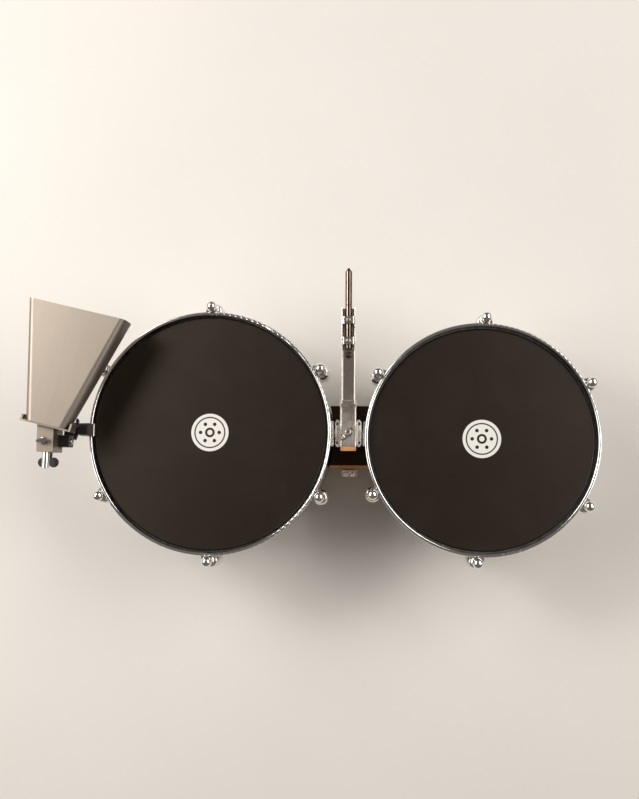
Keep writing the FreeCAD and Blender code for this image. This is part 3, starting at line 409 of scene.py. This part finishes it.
def make_threaded(name):
    """Plated tuning rod with its thread as a height."""
    material, tree, shader = start_material(name)
    thread = place_group(tree, SCREW_THREAD, Pitch=THREAD_PITCH, Start=THREAD_ENDS[0], End=THREAD_ENDS[1])
    crest = ramp_between(tree, thread["Height"], 0.05, 0.35)
    groove = do_math(tree, "MULTIPLY", do_math(tree, "SUBTRACT", 1.0, crest), thread["Threaded"])
    # The grooves are painted darker and made rougher than the crests.
    tree.links.new(blend_colour(tree, groove, (0.84, 0.82, 0.79, 1), (0.30, 0.27, 0.23, 1)),
                   shader.inputs["Base Color"])
    shader.inputs["Metallic"].default_value = 1.0
    tree.links.new(do_math(tree, "MULTIPLY_ADD", groove, 0.30, 0.10), shader.inputs["Roughness"])
    add_bump(tree, shader, thread["Height"], 0.6, 0.0004)
    return material


CHROME["threaded_rod"] = make_threaded("threaded_rod")
print("thread:", THREAD_PITCH * 1000, "mm pitch from z", THREAD_ENDS)

# %% [markdown]
# ## Satin screws, rivets and the flesh hoop
#
# Small fasteners are zinc or nickel plated and look satin. The same maker serves the dark rivets
# and the dull aluminium hoop: a metal with a grain of fine pits.

# %% Satin metal maker


def make_satin_metal(name, light, dark, rough_low, rough_high, pit_size):
    """Dull plated metal with fine pits."""
    material, tree, shader = start_material(name)
    marks = place_group(tree, HANDLING_MARKS, Smudge_Size=0.01)
    pits = place_group(tree, ORANGE_PEEL, Wave_Size=pit_size)
    tree.links.new(blend_colour(tree, marks["Smudge"], light, dark), shader.inputs["Base Color"])
    shader.inputs["Metallic"].default_value = 1.0
    tree.links.new(ramp_between(tree, pits["Height"], 0.3, 0.7, rough_low, rough_high), shader.inputs["Roughness"])
    add_bump(tree, shader, pits["Height"], 0.15, 0.0004)
    return material


SATIN = {
    "plated_screw": make_satin_metal("plated_screw", (0.70, 0.68, 0.64, 1), (0.52, 0.49, 0.44, 1), 0.22, 0.40, 0.0006),
    "dark_rivet": make_satin_metal("dark_rivet", (0.14, 0.12, 0.10, 1), (0.06, 0.05, 0.045, 1), 0.30, 0.50, 0.0005),
    "hoop_aluminium": make_satin_metal("hoop_aluminium", (0.34, 0.34, 0.35, 1), (0.20, 0.20, 0.21, 1), 0.38, 0.60,
                                       0.0012),
}
print("satin finishes:", ", ".join(SATIN))

# %% [markdown]
# ## Drum film with its roundel
#
# The head is a black polyester film, satin rather than glossy, with a white printed disc at the
# centre. The disc could be a separate sticker, but ink has no thickness, so it is a mask in the
# film's own material: white where the distance from the drum's centre is under the disc's radius.
# The print is a plain generic one of two rings and six dots, one for each tuning rod. The film's
# grain is a fine noise bump.

# %% Roundel group


def build_roundel():
    """White disc and dark ring-and-dots print, from the place relative to the drum's centre."""
    group, given, result = new_group("roundel", [("Place", (0.0, 0.0, 0.0)), ("Radius", 0.0286)], ["Disc", "Print"])
    flat = do_vector(group, "MULTIPLY", given["Place"], (1.0, 1.0, 0.0))
    reach = do_math(group, "DIVIDE", do_vector(group, "LENGTH", flat), given["Radius"])
    group.links.new(ramp_between(group, reach, 1.008, 0.992), result["Disc"])

    def ring(middle, half):
        """Soft-edged ring; middle and half width are parts of the disc's radius."""
        away = do_math(group, "ABSOLUTE", do_math(group, "SUBTRACT", reach, middle))
        return ramp_between(group, away, half + 0.012, half - 0.012)

    axes = add_node(group, "ShaderNodeSeparateXYZ", _0=flat).outputs
    angle = do_math(group, "ARCTAN2", axes["Y"], axes["X"])
    sixth = math.pi / 3
    step = do_math(group, "SNAP", do_math(group, "ADD", angle, sixth / 2), sixth)
    local = do_math(group, "SUBTRACT", angle, step)
    along = do_math(group, "SUBTRACT", do_math(group, "MULTIPLY", reach, do_math(group, "COSINE", local)), 0.50)
    across = do_math(group, "MULTIPLY", reach, do_math(group, "SINE", local))
    square = do_math(group, "ADD", do_math(group, "MULTIPLY", along, along), do_math(group, "MULTIPLY", across, across))
    dots = ramp_between(group, do_math(group, "SQRT", square), 0.105, 0.085)
    rings = do_math(group, "MAXIMUM", ring(0.80, 0.035), ring(0.20, 0.060))
    group.links.new(do_math(group, "MAXIMUM", rings, dots), result["Print"])
    return group


ROUNDEL = build_roundel()
print("group:", ROUNDEL.name)

# %% [markdown]
# ## Film material
#
# Both heads use the same maker, with the drum's own centre handed in, because the print is measured
# from there. The film is nearly black; most of what is seen on it is the soft warm sheen of the
# light, so its reflection is tinted and its roughness varies only a little.

# %% Film maker
FILM_BLACK = (0.0070, 0.0040, 0.0028, 1)
FILM_GREY = (0.0082, 0.0050, 0.0036, 1)
FILM_SHEEN = (1.0, 0.82, 0.68, 1)
INK_WHITE = (0.80, 0.79, 0.76, 1)
INK_BLACK = (0.012, 0.011, 0.010, 1)


def make_film(name, centre):
    """Black film with a printed roundel about its centre."""
    material, tree, shader = start_material(name)
    place = object_place(tree)
    from_centre = do_vector(tree, "SUBTRACT", place, centre)
    print_masks = place_group(tree, ROUNDEL, Place=from_centre)
    marks = place_group(tree, HANDLING_MARKS, Smudge_Size=0.07, Line_Density=500.0)
    film = blend_colour(tree, marks["Smudge"], FILM_BLACK, FILM_GREY)
    printed = blend_colour(tree, print_masks["Disc"], film, INK_WHITE)
    ink = do_math(tree, "MULTIPLY", print_masks["Print"], print_masks["Disc"])
    tree.links.new(blend_colour(tree, ink, printed, INK_BLACK), shader.inputs["Base Color"])
    satin = do_math(tree, "MULTIPLY_ADD", marks["Smudge"], 0.018, 0.41)
    rough = do_math(tree, "MULTIPLY_ADD", marks["Lines"], 0.05, satin)
    tree.links.new(rough, shader.inputs["Roughness"])
    shader.inputs["Specular IOR Level"].default_value = 0.54
    shader.inputs["Specular Tint"].default_value = FILM_SHEEN
    grain = noise_field(tree, place, 2600.0, 2.0, 0.6)
    add_bump(tree, shader, grain, 0.10, 0.0002)
    return material


def middle_of(node):
    """Centre of a node's box in the row frame."""
    low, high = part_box(node)
    return (Vector(low) + Vector(high)) / 2


FILM = {side: make_film("black_film_" + side, tuple(middle_of(side + "_head"))) for side in ("left", "right")}
print("film centres:", [tuple(round(v, 4) for v in middle_of(side + "_head")) for side in FILM])

# %% [markdown]
# ## Black parts
#
# The clamp arm, the tilter and the wing grips are powder coated: black, half matt, with a fine
# pebble. Bare metal shows through on the edges that hands and spanners touch. The rubber gaskets
# are flatter and softer.

# %% Powder coat and rubber


def make_powder_coat():
    """Half matt black paint with bare edges."""
    material, tree, shader = start_material("black_paint")
    edge = place_group(tree, WORN_EDGE, Width=0.0007)["Edge"]
    pebble = place_group(tree, ORANGE_PEEL, Wave_Size=0.0011)["Height"]
    worn = do_math(tree, "MULTIPLY", edge, 0.55)
    tree.links.new(blend_colour(tree, worn, (0.016, 0.015, 0.015, 1), (0.30, 0.29, 0.28, 1)),
                   shader.inputs["Base Color"])
    tree.links.new(worn, shader.inputs["Metallic"])
    tree.links.new(ramp_between(tree, pebble, 0.3, 0.7, 0.30, 0.42), shader.inputs["Roughness"])
    add_bump(tree, shader, pebble, 0.25, 0.0003)
    return material


def make_rubber():
    """Flat black rubber with a little dust."""
    material, tree, shader = start_material("gasket_rubber")
    pebble = place_group(tree, ORANGE_PEEL, Wave_Size=0.0006)["Height"]
    dust = place_group(tree, HANDLING_MARKS, Smudge_Size=0.01)["Smudge"]
    tree.links.new(blend_colour(tree, dust, (0.014, 0.014, 0.014, 1), (0.035, 0.033, 0.031, 1)),
                   shader.inputs["Base Color"])
    tree.links.new(ramp_between(tree, pebble, 0.3, 0.7, 0.6, 0.8), shader.inputs["Roughness"])
    add_bump(tree, shader, pebble, 0.3, 0.0003)
    return material


BLACKS = {"black_paint": make_powder_coat(), "gasket_rubber": make_rubber()}
print("black finishes:", ", ".join(BLACKS))

# %% [markdown]
# ## Wood, lacquered and bare
#
# The centre block is wood under black lacquer; its front board and the small pads are bare. Wood
# grain is noise stretched along the board, bent by a slower noise so the lines wander. The lacquer
# hides the colour but not all of the grain, which still shows in the gloss.

# %% Wood grain group


def build_wood_grain():
    """Grain and pores that run along X."""
    group, given, result = new_group("wood_grain", [("Ring Size", 0.004)], ["Grain", "Pores"])
    place = object_place(group)
    sway = noise_field(group, place, 18.0, 2.0, 0.5)
    bend = add_node(group, "ShaderNodeCombineXYZ", Y=do_math(group, "MULTIPLY", sway, 0.012),
                    Z=do_math(group, "MULTIPLY", sway, 0.018)).outputs[0]
    bent = do_vector(group, "ADD", place, bend)
    along = do_vector(group, "MULTIPLY", bent, (0.10, 1.0, 1.0))
    rings = noise_field(group, along, do_math(group, "DIVIDE", 1.0, given["Ring Size"]), 3.0, 0.6)
    pores = noise_field(group, do_vector(group, "MULTIPLY", bent, (0.05, 1.0, 1.0)), 2400.0, 1.0, 0.5)
    group.links.new(ramp_between(group, rings, 0.32, 0.68), result["Grain"])
    group.links.new(ramp_between(group, pores, 0.56, 0.70), result["Pores"])
    return group


WOOD_GRAIN = build_wood_grain()


def make_bare_wood():
    """Pale oiled wood."""
    material, tree, shader = start_material("bare_wood")
    wood = place_group(tree, WOOD_GRAIN)
    tone = blend_colour(tree, wood["Grain"], (0.70, 0.35, 0.145, 1), (0.54, 0.225, 0.075, 1))
    tree.links.new(blend_colour(tree, do_math(tree, "MULTIPLY", wood["Pores"], 0.5), tone, (0.26, 0.11, 0.04, 1)),
                   shader.inputs["Base Color"])
    tree.links.new(ramp_between(tree, wood["Grain"], 0.0, 1.0, 0.42, 0.55), shader.inputs["Roughness"])
    add_bump(tree, shader, wood["Pores"], 0.25, 0.0003, invert=True)
    return material


def make_lacquer():
    """Black lacquer over wood, rubbed at the edges."""
    material, tree, shader = start_material("black_lacquer")
    wood = place_group(tree, WOOD_GRAIN)
    edge = place_group(tree, WORN_EDGE, Width=0.0012, Break_Up=160.0)["Edge"]
    body = blend_colour(tree, wood["Grain"], (0.0150, 0.0060, 0.0030, 1), (0.0090, 0.0035, 0.0018, 1))
    tree.links.new(blend_colour(tree, do_math(tree, "MULTIPLY", edge, 0.35), body, (0.20, 0.11, 0.06, 1)),
                   shader.inputs["Base Color"])
    tree.links.new(ramp_between(tree, wood["Grain"], 0.0, 1.0, 0.28, 0.40), shader.inputs["Roughness"])
    shader.inputs["Specular IOR Level"].default_value = 0.30
    shader.inputs["Specular Tint"].default_value = (1.0, 0.72, 0.52, 1)
    add_bump(tree, shader, wood["Pores"], 0.12, 0.0003, invert=True)
    return material


WOODS = {"bare_wood": make_bare_wood(), "black_lacquer": make_lacquer()}
print("wood finishes:", ", ".join(WOODS))

# %% [markdown]
# ## Brushed steel of the cowbell
#
# The bell is steel with a warm tone, belt-brushed along its length. The brushing direction follows
# the bell, which is turned a little on its clamp. The strip and the box of the clamp are brushed the
# same way but straight.

# %% Brushed steel maker
BELL_TURN = math.radians(-13.4)


def make_brushed(name, light, dark, turn, rough_low, rough_high, fineness):
    """Brushed steel with a stroke direction; light and dark are its two colours."""
    material, tree, shader = start_material(name)
    strokes = place_group(tree, BRUSHED_LINES, Turn=turn, Fineness=fineness)
    marks = place_group(tree, HANDLING_MARKS, Smudge_Size=0.06)
    edge = place_group(tree, WORN_EDGE, Width=0.0010)["Edge"]
    bands = ramp_between(tree, strokes["Bands"], 0.20, 0.80)
    fine = ramp_between(tree, strokes["Lines"], 0.15, 0.85)
    tone = blend_colour(tree, do_math(tree, "MULTIPLY_ADD", fine, 0.30, do_math(tree, "MULTIPLY", bands, 0.10)),
                        light, dark)
    bright = blend_colour(tree, do_math(tree, "MULTIPLY", edge, 0.18), tone, (0.60, 0.55, 0.50, 1))
    # Painted shade: the brushed colour is darkened strongly where the occlusion mask is high.
    shade_mask = place_group(tree, CREVICE_SHADE, Reach=0.010)["Dirt"]
    crevice_adjusted = blend_colour(tree, do_math(tree, "MULTIPLY", shade_mask, 0.85), bright, CREVICE_SHADE_COLOUR)
    tree.links.new(crevice_adjusted, shader.inputs["Base Color"])
    shader.inputs["Metallic"].default_value = 0.8
    rough = ramp_between(tree, strokes["Lines"], 0.15, 0.85, rough_low, rough_high)
    tree.links.new(do_math(tree, "MULTIPLY_ADD", marks["Smudge"], 0.04, rough), shader.inputs["Roughness"])
    add_bump(tree, shader, strokes["Lines"], 0.10, 0.0002)
    return material


BRUSHED = {
    "brushed_bell": make_brushed("brushed_bell", (0.365, 0.312, 0.262, 1), (0.255, 0.218, 0.183, 1), BELL_TURN, 0.38,
                                 0.48, 1500.0),
    "brushed_bracket": make_brushed("brushed_bracket", (0.34, 0.29, 0.24, 1), (0.22, 0.19, 0.155, 1), 0.0, 0.30, 0.46,
                                    1900.0),
}
print("brushed finishes:", ", ".join(BRUSHED))

# %% [markdown]
# ## Dressing the CAD parts
#
# The record names a material slot for every node, so one loop can dress them all. A few nodes get a
# finish of their own: each head's film knows its own drum's centre, the tuning rods are threaded,
# and the accessory rod is chrome painted a dark warm brown, a painted reflection of the dark room
# that a chrome rod mirrors along its top.

# %% Dress the frame
FINISHES = {**CHROME, **SATIN, **BLACKS, **WOODS, **BRUSHED}
OWN_FINISH = {"left_head": FILM["left"], "right_head": FILM["right"], "accessory_rod": FINISHES["chrome_painted_dark"],
              "left_tension_rods": FINISHES["threaded_rod"], "right_tension_rods": FINISHES["threaded_rod"]}


def dress_nodes():
    """Every CAD node gets its material on all its slots."""
    slots = {entry["node"]: entry["material_slot"] for entry in frame["record"]["subparts"]}
    for name, node in NODES.items():
        material = OWN_FINISH[name] if name in OWN_FINISH else FINISHES[slots[name]]
        if not node.material_slots:
            node.data.materials.append(material)
        for slot in node.material_slots:
            slot.material = material


dress_nodes()
print("dressed", len(NODES), "nodes")

# %% [markdown]
# ## Floor and light
#
# The floor is plain and pale. Chrome shows what stands round it, so the lights are large soft
# panels: two long ones over the left and right with a gap between them, which gives every tuning
# ball a pair of bright fields and a dark line, and a small one from the far left. Flat plates at the
# centre would mirror only the dark gap, so two faint narrow strips hang straight above them.

# %% Stage


def make_floor_material():
    """Pale matt floor with a slight cloudiness."""
    material, tree, shader = start_material("pale_floor")
    place = object_place(tree)
    cloud = noise_field(tree, place, 3.0, 3.0, 0.5)
    tree.links.new(blend_colour(tree, cloud, (0.74, 0.71, 0.67, 1), (0.80, 0.77, 0.73, 1)),
                   shader.inputs["Base Color"])
    shader.inputs["Roughness"].default_value = 0.75
    return material


def add_floor():
    """Large flat floor just under the drums."""
    half = 4.0
    mesh = bpy.data.meshes.new("floor")
    mesh.from_pydata([(-half, -half, -0.0002), (half, -half, -0.0002), (half, half, -0.0002), (-half, half, -0.0002)],
                     [], [(0, 1, 2, 3)])
    floor = bpy.data.objects.new("floor", mesh)
    bpy.context.scene.collection.objects.link(floor)
    mesh.materials.append(make_floor_material())


def add_panel(name, place, target, size, power, colour=(1.0, 0.97, 0.93)):
    """Soft rectangular light that faces a point."""
    data = bpy.data.lights.new(name, "AREA")
    data.shape = "RECTANGLE"
    data.size, data.size_y = size
    data.energy = power
    data.color = colour
    panel = bpy.data.objects.new(name, data)
    bpy.context.scene.collection.objects.link(panel)
    panel.location = place
    panel.rotation_euler = (Vector(target) - Vector(place)).to_track_quat("-Z", "Y").to_euler()
    return panel


def add_surroundings():
    """Dim warm room light from all sides."""
    world = bpy.data.worlds.new("studio")
    bpy.context.scene.world = world
    world.use_nodes = True
    background = world.node_tree.nodes["Background"]
    background.inputs["Color"].default_value = (1.0, 0.90, 0.82, 1)
    background.inputs["Strength"].default_value = 0.14


add_floor()
add_surroundings()
add_panel("left_panel", (-2.2, 0.75, 2.0), (-0.15, 0, 0.1), (3.2, 1.5), 66.0)
add_panel("right_panel", (2.1, 0.65, 2.1), (0.15, 0, 0.1), (3.2, 1.5), 64.0)
add_panel("key_panel", (-1.55, 0.75, 1.5), (-0.1, 0, 0.1), (0.5, 0.5), 12.0)
add_panel("left_strip", (-0.130, 0.13, 2.2), (-0.130, 0.13, 0.0), (0.050, 0.18), 0.030)
add_panel("right_strip", (0.005, 0.13, 2.2), (0.005, 0.13, 0.0), (0.045, 0.18), 0.028)
bpy.context.scene.view_settings.view_transform = "Standard"
print("stage ready")
